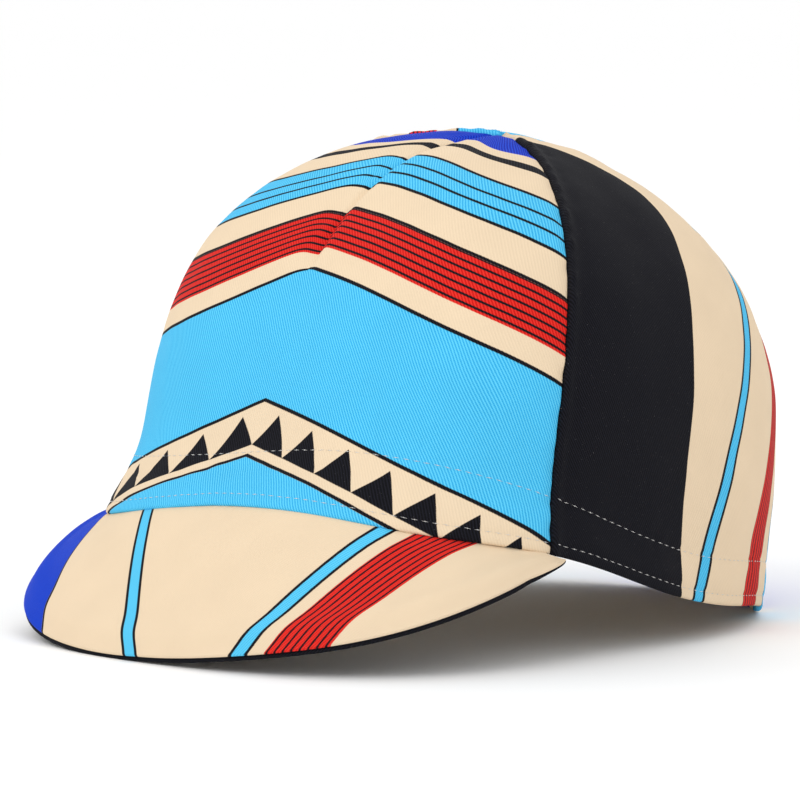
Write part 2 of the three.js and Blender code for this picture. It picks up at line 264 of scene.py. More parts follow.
def bevel_rise(angle):
    """Rise at which the hem's inner face begins, cut back along the peak's slope"""
    slope = peak_frame(np.clip(angle, -PEAK_END, PEAK_END))[0]
    return HEM_WALL * np.tan(slope) / (CROWN_HEIGHT - hem_height(angle))


def placed(points):
    """Points in the frame, in metres: leaning and tipped as the cap rests, and none below the table"""
    lean, tip = CROWN_LEAN * DEGREE, math.atan(TABLE_RISE * math.cos(CROWN_LEAN * DEGREE))
    x = points[..., 0] * math.cos(lean) + points[..., 2] * math.sin(lean)
    upright = points[..., 2] * math.cos(lean) - points[..., 0] * math.sin(lean)
    y = points[..., 1] * math.cos(tip) + upright * math.sin(tip)
    z = upright * math.cos(tip) - points[..., 1] * math.sin(tip)
    moved = np.stack([x, y, z], axis=-1) + CROWN_PLACE
    moved[..., 2] = np.maximum(moved[..., 2], 0)
    return moved * MM


def ripple(u, v, length, seed, waves=7):
    """A soft unevenness from a few crossing waves, about -1 to 1"""
    draw = np.random.default_rng(seed)
    total = np.zeros_like(u)
    for _ in range(waves):
        heading, phase = draw.uniform(0, 2 * math.pi, 2)
        stretched = length * draw.uniform(0.7, 1.4)
        along = u * math.cos(heading) + v * math.sin(heading)
        total += np.sin(2 * math.pi * along / stretched + phase)
    return total / math.sqrt(waves)


# Meshes

def in_scene(name, data):
    made = bpy.data.objects.new(name, data)
    bpy.context.scene.collection.objects.link(made)
    return made


def make_object(name, vertices, faces, corner_uv, materials, indices):
    mesh = bpy.data.meshes.new(name)
    mesh.from_pydata(vertices.tolist(), [], faces)
    layer = mesh.uv_layers.new(name="cloth")
    layer.data.foreach_set("uv", np.asarray(corner_uv, dtype=np.float32).ravel())
    for material in materials:
        mesh.materials.append(material)
    mesh.polygons.foreach_set("material_index", indices)
    mesh.polygons.foreach_set("use_smooth", [True] * len(faces))
    mesh.update()
    return in_scene(name, mesh)


def shell(name, outer, inner, outer_uv, inner_uv, materials, inner_slots, tip=None):
    """A closed shell between two grids of points. A tip closes both grids' last rows in one point each."""
    rows, columns = outer.shape[:2]
    vertices = np.concatenate([outer.reshape(-1, 3), inner.reshape(-1, 3)])
    uv = np.concatenate([outer_uv.reshape(-1, 2), inner_uv.reshape(-1, 2)])
    inside = rows * columns
    faces, indices = [], []

    def add(corners, slot=0):
        faces.append(corners)
        indices.append(slot)

    def at(row, column, side=0):
        return side * inside + row * columns + column

    for row in range(rows - 1):
        slot = int(inner_slots[row])
        for column in range(columns - 1):
            face = [(row, column), (row, column + 1), (row + 1, column + 1), (row + 1, column)]
            add(tuple(at(*corner) for corner in face))
            add(tuple(at(*corner, 1) for corner in reversed(face)), slot)
        last = columns - 1
        add((at(row, 0), at(row + 1, 0), at(row + 1, 0, 1), at(row, 0, 1)))
        add((at(row + 1, last), at(row, last), at(row, last, 1), at(row + 1, last, 1)))
    for column in range(columns - 1):
        add((at(0, column + 1), at(0, column), at(0, column, 1), at(0, column + 1, 1)))
    top = rows - 1
    if tip is None:
        for column in range(columns - 1):
            add((at(top, column), at(top, column + 1), at(top, column + 1, 1), at(top, column, 1)))
    else:
        vertices = np.concatenate([vertices, tip])
        middle = columns // 2
        tip_uv = uv[at(top, middle)]
        uv = np.concatenate([uv, [tip_uv, tip_uv]])
        over, under = 2 * inside, 2 * inside + 1
        for column in range(columns - 1):
            add((at(top, column), at(top, column + 1), over))
            add((at(top, column + 1, 1), at(top, column, 1), under), int(inner_slots[-1]))
        add((at(top, 0), over, under, at(top, 0, 1)))
        add((over, at(top, last), at(top, last, 1), under))
    corner_uv = uv[np.concatenate([np.array(face) for face in faces])]
    return make_object(name, vertices, faces, corner_uv, materials, indices)


# Crown panels

# Distances of a panel's first columns from its edge, and of its first rows from the hem
EDGE_STEPS = [0, 0.25, 0.55, 0.9, 1.3, 1.8, 2.5, 3.4]
EDGE_ROLL = 4.4
WIDEST_ROLL_SHARE = 0.16
HEM_STEPS = [0, 0.12, 0.35, 0.7, 1.2, 1.9, 2.6, 3.1, 3.6, 4.1, 4.7, 5.7, 6.9, 8.2, 9.6,
             11, 12.2, 13.2, 13.9, 14.6, 15.3, 16.2, 17.4]
CROWN_STEPS = 92
TOP_RISE = 0.988

# The hem's turned-in cloth and the seams' allowances thicken the wall inside
TURN_IN = 15.3
TURN_IN_STEP = 0.6
ALLOWANCE = 0.5
ALLOWANCE_START = 5.8
ALLOWANCE_END = 6.6
INSIDE_SMOOTH = 3

# At the apex a panel ends in a point on each side of its cloth
TIP_REACH = 0.15
TIP_SINKS = (0.5, 1.8)

# Each stitched line as its points and the cloth's facing at them; a panel's outermost columns have none
STITCH_LINES = []
SEAM_CLEAR = 5

# Relief of the hem
HEM_ROUND = 0.85
STITCH_SINK = 0.28
STITCH_SINK_WIDTH = 1.0
HEM_PUCKER = 0.14
HEM_PUCKER_LENGTH = 11
HEM_PUCKER_WIDTH = 5
HEM_PUCKER_STRETCH = 0.5
TOP_PUCKER = 0.10
TOP_PUCKER_LENGTH = 5
TOP_PUCKER_WIDTH = 4
TOP_PUCKER_STRETCH = 0.3

# Relief of the cloth between the seams
DENT = 0.22
DENT_LENGTH = 46
SLACK = 0.05
SLACK_LENGTH = 14

# Relief of the seams
PROUD_LIFT = 0.62
PROUD_CREST = 1.5
PROUD_PULL = 0.22
PROUD_PULL_AT = 5
PROUD_PULL_WIDTH = 2.2
PROUD_ROUND = 1.3
PROUD_UNEVEN = 0.45
PROUD_PUCKER_LENGTH = 6.5
PROUD_PUCKER_STRETCH = 0.6
SUNK_PUCKER_STRETCH = 0.5
LOW_SEAM = {"sink": 0.55, "width": 2.2, "uneven": 0.4, "length": 6, "radius": 0.8}
FLAT_SEAM = {"sink": 0.32, "width": 1.8, "uneven": 0.35, "length": 7, "radius": 1.0}

# Relief of the dart, and how far the print shifts on each of its sides
DART_SINK = 1.0
DART_WIDTH = 1.2
DART_HOLLOW = 0.5
DART_HOLLOW_AT = -2
DART_HOLLOW_WIDTH = 4
DART_UNEVEN = 0.4
DART_PUCKER_LENGTH = 8
DART_PRINT_RIGHT = 2.6
DART_PRINT_RIGHT_WIDTH = 4.5
DART_PRINT_LEFT = 1.3
DART_PRINT_LEFT_WIDTH = 2.0


def span_columns(count):
    """Rules for the columns of a span: shares of its first roll, of its middle and of its last roll"""
    first = [(step / EDGE_ROLL, 0, 0) for step in EDGE_STEPS]
    middle = [(1, share, 0) for share in np.linspace(0, 1, count)]
    last = [(1, 1, 1 - step / EDGE_ROLL) for step in reversed(EDGE_STEPS)]
    return first + middle + last


def column_angles(rules, start, end, rise):
    """The angle of each column of a span, for a grid of rises"""
    shares = np.array(rules)
    from_angle, to_angle = start(rise), end(rise)
    width = to_angle - from_angle
    most = WIDEST_ROLL_SHARE * width
    roll_first = np.minimum(EDGE_ROLL / crown_reach(from_angle, rise) / DEGREE, most)
    roll_last = np.minimum(EDGE_ROLL / crown_reach(to_angle, rise) / DEGREE, most)
    middle = width - roll_first - roll_last
    return from_angle + shares[:, 0] * roll_first + shares[:, 1] * middle + shares[:, 2] * roll_last


def grid_rises(hem_angles, start):
    """Rises of a panel's rows in each of its columns, the first at the given start"""
    full = CROWN_HEIGHT - hem_height(hem_angles)
    low = np.array(HEM_STEPS)[:, None] / full
    share = np.array(HEM_STEPS)[:, None] / HEM_STEPS[-1]
    low = start + (low[-1] - start) * share
    high = low[-1] + (TOP_RISE - low[-1]) * np.linspace(0, 1, CROWN_STEPS + 1)[1:, None]
    return np.concatenate([low, high])


def lengths(grid, first_column):
    """Length along the cloth from a column, and up from the hem, at each point of a grid"""
    across = np.linalg.norm(np.diff(grid, axis=1), axis=-1)
    u = np.concatenate([np.zeros((len(grid), 1)), np.cumsum(across, axis=1)], axis=1)
    u = u - u[:, first_column:first_column + 1]
    upward = np.linalg.norm(np.diff(grid, axis=0), axis=-1)
    v = np.concatenate([np.zeros((1, grid.shape[1])), np.cumsum(upward, axis=0)])
    return u, v


def round_edge(distance, radius):
    """How far cloth turns in at a folded edge, at a distance from the edge"""
    inside = np.clip(1 - distance / radius, 0, 1)
    return radius * (1 - np.sqrt(1 - inside ** 2))


def hem_relief(v, u, seed):
    """The folded hem: a rounded edge, two sunk stitch rows, and small puckers between and along them"""
    relief = -round_edge(v, HEM_ROUND)
    for height in STITCH_ROWS:
        relief -= STITCH_SINK * bell(v - height, STITCH_SINK_WIDTH)
    between = bell(v - sum(STITCH_ROWS) / 2, HEM_PUCKER_WIDTH)
    relief += HEM_PUCKER * between * ripple(u, v * HEM_PUCKER_STRETCH, HEM_PUCKER_LENGTH, seed)
    upper = bell(v - STITCH_ROWS[1], TOP_PUCKER_WIDTH)
    return relief + TOP_PUCKER * upper * ripple(u, v * TOP_PUCKER_STRETCH, TOP_PUCKER_LENGTH, seed + 1)


def grain(u, v, seed):
    """Slack in the cloth: broad soft dents and finer unevenness"""
    return DENT * ripple(u, v, DENT_LENGTH, seed) + SLACK * ripple(u, v, SLACK_LENGTH, seed + 3)


def proud_seam(distance, v, seed):
    """A seam edge that stands over its neighbour and puckers along its stitching"""
    pucker = 1 + PROUD_UNEVEN * ripple(v, distance * PROUD_PUCKER_STRETCH, PROUD_PUCKER_LENGTH, seed)
    lift = PROUD_LIFT * bell(distance - PROUD_CREST, PROUD_CREST) * pucker
    pull = -PROUD_PULL * bell(distance - PROUD_PULL_AT, PROUD_PULL_WIDTH) * pucker
    return lift + pull - round_edge(distance, PROUD_ROUND)


def sunk_seam(distance, v, seed, sink, width, uneven, length, radius):
    """A seam edge that dips, beneath its neighbour or level with it"""
    pucker = 1 + uneven * ripple(v, distance * SUNK_PUCKER_STRETCH, length, seed)
    return -sink * bell(distance, width) * pucker - round_edge(distance, radius)


def facing_of(around, upward):
    """The cloth's facing along a row of its points, from the row above it"""
    along = np.gradient(around, axis=0)
    facing = unit(np.cross(along, upward - around))
    return unit(placed(around + facing) - placed(around))


def no_shift(u, v):
    return 0 * u


def dart_shift(u, v):
    """How far the print runs down into the dart, more on its right side than on its left"""
    right = DART_PRINT_RIGHT * bell(u, DART_PRINT_RIGHT_WIDTH)
    left = DART_PRINT_LEFT * bell(u, DART_PRINT_LEFT_WIDTH)
    return np.where(u < 0, right, left) * ease(DART_FOOT - 2, DART_FOOT + 3, v)


def crown_panel(name, spans, zero_column, relief, bevelled, materials, print_shift=no_shift):
    """A panel of the crown from its spans, each a rule for its columns, a start and an end"""
    def angles_at(rise_grid):
        parts = []
        column = 0
        for number, (rules, start, end) in enumerate(spans):
            rules = rules[1:] if number else rules
            part = rise_grid[:, column:column + len(rules)]
            parts.append(column_angles(rules, start, end, part))
            column += len(rules)
        return np.concatenate(parts, axis=1)

    count = sum(len(rules) for rules, _, _ in spans) - (len(spans) - 1)
    hem_angles = angles_at(np.zeros((1, count)))[0]
    rises = grid_rises(hem_angles, np.zeros(count))
    angles = angles_at(rises)
    base = crown_point(angles, rises)
    normal = cloth_normal(crown_point, angles, rises)
    u, v = lengths(base, zero_column)
    outer = base + normal * relief(u, v)[..., None]

    start = bevel_rise(hem_angles) if bevelled else np.zeros(count)
    inner_rises = grid_rises(hem_angles, start)
    inner_angles = angles_at(inner_rises)
    inner_base = crown_point(inner_angles, inner_rises)
    inner_normal = cloth_normal(crown_point, inner_angles, inner_rises)
    from_start = u - u[:, :1]
    from_end = u[:, -1:] - u
    seam = np.minimum(from_start, from_end)
    allowance = ALLOWANCE * ease(ALLOWANCE_END, ALLOWANCE_START, seam)
    hem_step = (HEM_WALL - WALL) * ease(TURN_IN + TURN_IN_STEP, TURN_IN - TURN_IN_STEP, v)
    depth = WALL + np.maximum(allowance, hem_step) - 0.5 * round_edge(v, HEM_ROUND)
    shared = relief(u, v) + round_edge(v, HEM_ROUND)
    inner = inner_base + inner_normal * (shared * ease(0, INSIDE_SMOOTH, seam) - depth)[..., None]

    inner_v = np.where(v < STITCH_ROWS[1], -v, v)
    slots = np.arange(len(rises)) >= HEM_STEPS.index(STITCH_ROWS[1])
    middle = (angles[-1, 0] + angles[-1, -1]) / 2 * DEGREE
    tip_x, tip_y = TIP_REACH * math.sin(middle), -TIP_REACH * math.cos(middle)
    tip = np.array([[tip_x, tip_y, CROWN_HEIGHT - sink] for sink in TIP_SINKS])
    for height in STITCH_ROWS:
        row = HEM_STEPS.index(height)
        ends = slice(SEAM_CLEAR, count - SEAM_CLEAR)
        for grid, outward in ((outer, 1), (inner, -1)):
            around, upward = grid[row, ends], grid[row + 1, ends]
            STITCH_LINES.append((placed(around), outward * facing_of(around, upward)))
    return shell(
        name, placed(outer), placed(inner),
        np.stack([u, v + print_shift(u, v)], axis=-1) * MM, np.stack([u, inner_v], axis=-1) * MM,
        materials, slots, placed(tip),
    )


def front_relief(u, v):
    left = u[:, -1:] - u
    right = u - u[:, :1]
    puckered = 1 + DART_UNEVEN * ripple(v, u, DART_PUCKER_LENGTH, seed=41)
    hollow = DART_HOLLOW * bell(u - DART_HOLLOW_AT, DART_HOLLOW_WIDTH) * puckered
    dart = ease(DART_FOOT - 3, DART_FOOT + 6, v) * (DART_SINK * bell(u, DART_WIDTH) + hollow)
    return (
        hem_relief(v, u, seed=11) + grain(u, v, seed=12) - dart
        + sunk_seam(left, v, seed=13, **LOW_SEAM) + sunk_seam(right, v, seed=14, **LOW_SEAM)
    )


def left_back_relief(u, v):
    return (
        hem_relief(v, u, seed=21) + grain(u, v, seed=22)
        + proud_seam(u, v, seed=23) + sunk_seam(u[:, -1:] - u, v, seed=24, **FLAT_SEAM)
    )


def right_back_relief(u, v):
    return (
        hem_relief(v, u, seed=31) + grain(u, v, seed=32)
        + sunk_seam(u, v, seed=33, **FLAT_SEAM) + proud_seam(u[:, -1:] - u, v, seed=34)
    )


# Peak

PEAK_COLUMNS = 170
PEAK_STEPS = 34

# Beyond the peak's rounded corners, its cloth runs out along the hem to thin points
CORNER_REACH = 0.062
CORNER_SHARE = 0.25
CORNER_START = 0.85
CORNER_LENGTH = 10.7
CORNER_FROM = 52
CORNER_END = PEAK_END * (1 + CORNER_REACH)
CORNER_ROUND = 0.7
CORNER_FLOOR = 0.15
CORNER_THIN = 0.35
CORNER_CLOSE = 0.45

# Distances of the first rows from the rim, and the most that they take of a short part of the peak
RIM_STEPS = [0, 0.15, 0.4, 0.8, 1.3, 2.0]
RIM_SHARE = 0.3

# The peak swells, fully where it is at least so long, and most at a distance from its rim
CAMBER_FULL = 15
BULGE_FULL = 20
BULGE_AT = 6.5
BULGE_WIDTH = 4.5

# Rows of the tucked edge, and the peak's soft unevenness, which fades at its edges
TUCK_SHARES = (0, 0.33, 0.66, 1)
PEAK_SWAY = 0.12
PEAK_SWAY_LENGTH = 30
PEAK_SWAY_EDGE = 4
PEAK_SWAY_ROOT = 6


def peak_lines(angles, depth, lip):
    """Rows of the peak from its rim up to its edge tucked inside the hem, and the facing at their points"""
    shares = np.concatenate([np.ones(len(RIM_STEPS)), np.linspace(1, 0, PEAK_STEPS)[1:]])
    spread = angles * (1 + CORNER_REACH * ease(0, CORNER_SHARE, shares)[:, None])
    thin = 1 - (1 - CORNER_THIN) * ease(CORNER_START, 1, np.abs(angles) / PEAK_END)
    _, length, down, up = peak_frame(spread)
    left = np.clip((CORNER_END - np.abs(spread)) / (CORNER_END - CORNER_FROM), 0, 1)
    length = np.maximum(length, CORNER_LENGTH * left ** CORNER_ROUND)
    full = np.maximum(length, CORNER_FLOOR) + lip * thin
    steps = np.concatenate([RIM_STEPS, np.full(PEAK_STEPS - 1, RIM_STEPS[-1])])[:, None]
    along = (full - np.minimum(steps, full * RIM_SHARE)) * shares[:, None]
    share = along / full
    camber = PEAK_CAMBER * 4 * share * (1 - share) * np.minimum(length / CAMBER_FULL, 1)
    bulge = bell(full - along - BULGE_AT, BULGE_WIDTH) - bell(BULGE_AT, BULGE_WIDTH)
    camber += RIM_BULGE * np.minimum(length / BULGE_FULL, 1) * bulge
    under = (TUCK_GAP * ((1 + CORNER_CLOSE) * thin - CORNER_CLOSE) + depth * thin)[:, None]
    rows = crown_point(spread, 0 * spread) - up * under
    rows = rows + down * along[..., None] + up * camber[..., None]

    tucked_up = up[-1]
    bend = bevel_rise(angles)
    bend_normal = cloth_normal(crown_point, angles, bend)
    mitre = (tucked_up + bend_normal) / (1 + np.sum(tucked_up * bend_normal, axis=-1, keepdims=True))
    bent = crown_point(angles, bend) - bend_normal * HEM_WALL - mitre * under
    top = PEAK_TUCK / (CROWN_HEIGHT - hem_height(angles))
    top_normal = cloth_normal(crown_point, angles, top)
    tucked = crown_point(angles, top) - top_normal * (HEM_WALL + under)
    between = [bent + (tucked - bent) * share for share in TUCK_SHARES]
    return np.concatenate([rows, between]), np.concatenate([up, [tucked_up] * len(between)])


def peak_ply(name, top_depth, bottom_depth, lip, materials, on_table):
    """One ply of the peak, between two depths under its surface"""
    steps = np.linspace(-1, 1, PEAK_COLUMNS)
    angles = PEAK_END * np.sin(steps * math.pi / 2)
    upper, up = peak_lines(angles, top_depth, lip)
    lower, _ = peak_lines(angles, bottom_depth, lip)
    u, v = lengths(upper, PEAK_COLUMNS // 2)
    root = len(RIM_STEPS) + PEAK_STEPS - 2
    v = v[root] - v
    from_rim = v[0] - v
    edge = np.minimum(from_rim, np.minimum(u - u[:, :1], u[:, -1:] - u))
    thick = np.linalg.norm(upper - lower, axis=-1)
    turn = (round_edge(edge, thick.max() / 2) / thick.max() * thick)[..., None] * up
    sway = PEAK_SWAY * ripple(u, v, PEAK_SWAY_LENGTH, seed=51) * ease(0, PEAK_SWAY_EDGE, edge)
    sway = (sway * ease(0, PEAK_SWAY_ROOT, v))[..., None] * up
    upper = upper - turn + sway
    lower = lower + turn + sway
    if on_table:
        for grid in (upper, lower):
            grid[..., 2] = np.maximum(grid[..., 2], table_height(grid[..., 0], grid[..., 1]))
    uv = np.stack([u, v], axis=-1) * MM
    return shell(name, placed(upper), placed(lower), uv, uv, materials, np.zeros(len(upper)))


# Materials

def new_material(name):
    material = bpy.data.materials.new(name)
    material.use_nodes = True
    tree = material.node_tree
    return material, tree, tree.nodes["Principled BSDF"]


def socket_or_value(tree, socket, value):
    if isinstance(value, bpy.types.NodeSocket):
        tree.links.new(value, socket)
    else:
        socket.default_value = value


def calc(tree, operation, *values, clamp=False):
    node = tree.nodes.new("ShaderNodeMath")
    node.operation = operation
    node.use_clamp = clamp
    for socket, value in zip(node.inputs, values):
        socket_or_value(tree, socket, value)
    return node.outputs[0]


def mix_colours(tree, share, under, over):
    node = tree.nodes.new("ShaderNodeMix")
    node.data_type = "RGBA"
    for name, value in (("Factor_Float", share), ("A_Color", under), ("B_Color", over)):
        socket = next(item for item in node.inputs if item.identifier == name)
        socket_or_value(tree, socket, value)
    return next(item for item in node.outputs if item.identifier == "Result_Color")


def vector_calc(tree, operation, *values):
    node = tree.nodes.new("ShaderNodeVectorMath")
    node.operation = operation
    for socket, value in zip(node.inputs, values):
        socket_or_value(tree, socket, value)
    return node.outputs[0]


def noise(tree, vector, scale, detail=2, roughness=0.5):
    node = tree.nodes.new("ShaderNodeTexNoise")
    node.inputs["Scale"].default_value = scale
    node.inputs["Detail"].default_value = detail
    node.inputs["Roughness"].default_value = roughness
    tree.links.new(vector, node.inputs["Vector"])
    return node.outputs["Fac"]


def wave(tree, place, pitch):
    """A wave between 0 and 1 along a place"""
    turns = calc(tree, "SINE", calc(tree, "MULTIPLY", place, 2 * math.pi / pitch))
    return calc(tree, "MULTIPLY_ADD", turns, 0.5, 0.5)


def add_bump(tree, shader, height, strength, distance):
    bump = tree.nodes.new("ShaderNodeBump")
    bump.inputs["Strength"].default_value = strength
    bump.inputs["Distance"].default_value = distance
    tree.links.new(height, bump.inputs["Height"])
    tree.links.new(bump.outputs["Normal"], shader.inputs["Normal"])


def linear(red, green, blue):
    """A colour for the shader from its usual values of 0 to 255"""
    def one(value):
        value /= 255
        return value / 12.92 if value <= 0.04045 else ((value + 0.055) / 1.055) ** 2.4
    return (one(red), one(green), one(blue), 1)


CREAM = linear(223, 201, 171)
SKY = linear(94, 199, 234)
ROYAL = linear(2, 66, 200)
RED = linear(220, 46, 36)
INK = linear(18, 18, 28)
REVERSE = linear(220, 204, 180)
LINT = linear(205, 200, 196)
THREAD_LIGHT = linear(226, 224, 220)
THREAD_DARK = linear(176, 174, 172)
WHITE = (1, 1, 1, 1)

# Painted shade: how much a full ink darkens in the valleys between the ridges of the twill, as a power of
# its colour
VALLEY_SHADE_POWER = 1.1

# The print, in millimetres on the cloth: its edges' softness, its black lines and its slants
PRINT_SOFT = 0.22
OUTLINE = 1.1
STRIPE_PITCH = 2.3
STRIPE_SHARE = 0.3
STRIPE_SOFT = 0.2
TEETH_SHARP = 3
CHEVRON_SLANT = 0.30
BACK_SLANT = 0.22
PEAK_LEFT_SLANT = 0.45
PEAK_RIGHT_SLANT = 0.55

# The black side block's rear edge leans forward by its slant, and ever more above a height
BLOCK_SLANT = 0.08
BLOCK_BEND_FROM = 115
BLOCK_BEND = 0.02

# Twill. The line across its ridges runs along the cloth and up it by two shares. Pitches and wanderings
# are in millimetres, and heights are parts of the whole relief.
ACROSS_U = 0.80
ACROSS_V = 0.60
RIDGE_PITCH = 0.75
THREAD_PITCH = 0.55
RIDGE_DRIFT = 2.2
RIDGE_WOBBLE = 0.22
RIDGE_HEIGHT = 0.75
THREAD_HEIGHT = 0.12
FIBRE_HEIGHT = 0.40
THREAD_BREAKS = 0.7
FIBRE_BREAKS = 2.6
WEAVE_RELIEF = 0.12 * MM
PRINT_WANDER = 0.5

# Gathers along a proud seam
GATHER_REACH = 3.6
GATHER_PITCH = 1.9
GATHER_LEAN = 0.5
GATHER_HEIGHT = 0.22
GATHER_LIFT = 0.05

# Shares of the colour that the valleys keep as painted shade, of painted light that the weave's ridges and
# gathers add, and of a slow uneven tone that the mottle adds
VALLEY_SHADE = 0.89
WEAVE_SHADE = 0.08
MOTTLE_SHADE = 0.10

# Lint in a few specks, and a roughness that is less on the ridges
LINT_SHARE = 0.2
LINT_GAIN = 14
LINT_OFFSET = -10.2
ROUGHNESS = 0.93
ROUGHNESS_OF_WEAVE = -0.16


class Print:
    """Colours laid one over another on the cloth, at places in millimetres"""

    def __init__(self, tree, u, v, ground):
        self.tree, self.u, self.v = tree, u, v
        self.colour = ground

    def slanted(self, across, upward, mirrored=False):
        u = calc(self.tree, "ABSOLUTE", self.u) if mirrored else self.u
        part = calc(self.tree, "MULTIPLY", u, across)
        return calc(self.tree, "MULTIPLY_ADD", self.v, upward, part)

    def inside(self, place, low, high, soft=PRINT_SOFT):
        off = calc(self.tree, "ABSOLUTE", calc(self.tree, "SUBTRACT", place, (low + high) / 2))
        room = calc(self.tree, "SUBTRACT", (high - low) / 2, off)
        return calc(self.tree, "MULTIPLY_ADD", room, 1 / soft, 0.5, clamp=True)

    def both(self, mask, other):
        return calc(self.tree, "MULTIPLY", mask, other)

    def lay(self, mask, colour):
        self.colour = mix_colours(self.tree, mask, self.colour, colour)

    def band(self, place, low, high, colour):
        self.lay(self.inside(place, low, high), colour)

    def outlined(self, place, low, high, colour):
        self.band(place, low - OUTLINE, high + OUTLINE, INK)
        self.band(place, low, high, colour)

    def pinstriped(self, place, low, high):
        """A red band with fine black stripes"""
        mask = self.inside(place, low, high)
        self.lay(mask, RED)
        turn = calc(self.tree, "PINGPONG", place, STRIPE_PITCH / 2)
        lines = self.inside(turn, -STRIPE_PITCH, STRIPE_SHARE * STRIPE_PITCH / 2, STRIPE_SOFT)
        self.lay(self.both(mask, lines), INK)

    def teeth(self, place, along, low, high, pitch, colour):
        """A row of triangles standing on one line and pointing to the next"""
        turn = calc(self.tree, "PINGPONG", along, pitch / 2)
        height = calc(self.tree, "MULTIPLY", turn, 2 * (high - low) / pitch)
        room = calc(self.tree, "SUBTRACT", calc(self.tree, "ADD", height, low), place)
        mask = calc(self.tree, "MULTIPLY_ADD", room, TEETH_SHARP, 0.5, clamp=True)
        self.lay(self.both(mask, self.inside(place, low, high)), colour)


def shade_valleys(tree, colour, valley):
    """A printed colour with painted shade in the valleys between the ridges, deeper the fuller the ink; bare
    cloth stays as it is
    """
    whole = colour
    if not isinstance(colour, bpy.types.NodeSocket):
        colour = colour[:3]
    bare = tree.nodes.new("ShaderNodeSeparateXYZ")
    tree.links.new(vector_calc(tree, "DIVIDE", colour, CREAM[:3]), bare.inputs[0])
    red, green, blue = bare.outputs
    least = calc(tree, "MINIMUM", calc(tree, "MINIMUM", red, green), blue)
    ink = calc(tree, "SUBTRACT", 1, least, clamp=True)
    deep = tree.nodes.new("ShaderNodeGamma")
    socket_or_value(tree, deep.inputs["Color"], whole)
    tree.links.new(calc(tree, "MULTIPLY", ink, VALLEY_SHADE_POWER), deep.inputs["Gamma"])
    deepened = mix_colours(tree, valley, WHITE, deep.outputs[0])
    return vector_calc(tree, "MULTIPLY", colour, deepened)


# The prints. Places are in millimetres up the front panel's middle, or along the hem elsewhere.

def front_print(cloth):
    chevron = cloth.slanted(CHEVRON_SLANT, 1, mirrored=True)
    cloth.band(chevron, -60, 18, SKY)
    cloth.band(chevron, 18, 19.1, INK)
    cloth.teeth(chevron, cloth.u, 22, 33, pitch=15, colour=INK)
    cloth.outlined(chevron, 36, 76, SKY)
    cloth.pinstriped(chevron, 84, 99)
    cloth.band(chevron, 99, 100, INK)
    cloth.outlined(chevron, 112, 128, SKY)
    cloth.band(chevron, 116.5, 117.4, INK)
    cloth.band(chevron, 121.5, 122.4, INK)
    cloth.band(chevron, 140, 144, INK)
    cloth.band(chevron, 150, 260, ROYAL)


def left_back_print(cloth):
    lean = cloth.slanted(1, -BACK_SLANT)
    high = calc(cloth.tree, "MAXIMUM", calc(cloth.tree, "SUBTRACT", cloth.v, BLOCK_BEND_FROM), 0)
    straight = cloth.slanted(1, BLOCK_SLANT)
    block = calc(cloth.tree, "MULTIPLY_ADD", calc(cloth.tree, "POWER", high, 2), BLOCK_BEND, straight)
    cloth.band(block, -80, 55.5, INK)
    cloth.outlined(lean, 62, 66, SKY)
    cloth.pinstriped(lean, 92, 106)
    cloth.outlined(lean, 118, 138, SKY)
    cloth.band(lean, 146, 260, ROYAL)


def right_back_print(cloth):
    lean = cloth.slanted(1, BACK_SLANT)
    cloth.band(lean, -60, 30, ROYAL)
    cloth.outlined(lean, 38, 62, SKY)
    cloth.pinstriped(lean, 74, 90)
    cloth.outlined(lean, 118, 122, SKY)
    cloth.band(lean, 134, 300, INK)


def peak_print(cloth):
    right = cloth.slanted(1, -PEAK_RIGHT_SLANT)
    left = cloth.slanted(1, PEAK_LEFT_SLANT)
    cloth.band(right, -200, -74, ROYAL)
    cloth.band(right, -74, -72.9, INK)
    cloth.outlined(right, -33, -29, SKY)
    cloth.outlined(left, 56, 60, SKY)
    cloth.pinstriped(left, 66, 84)


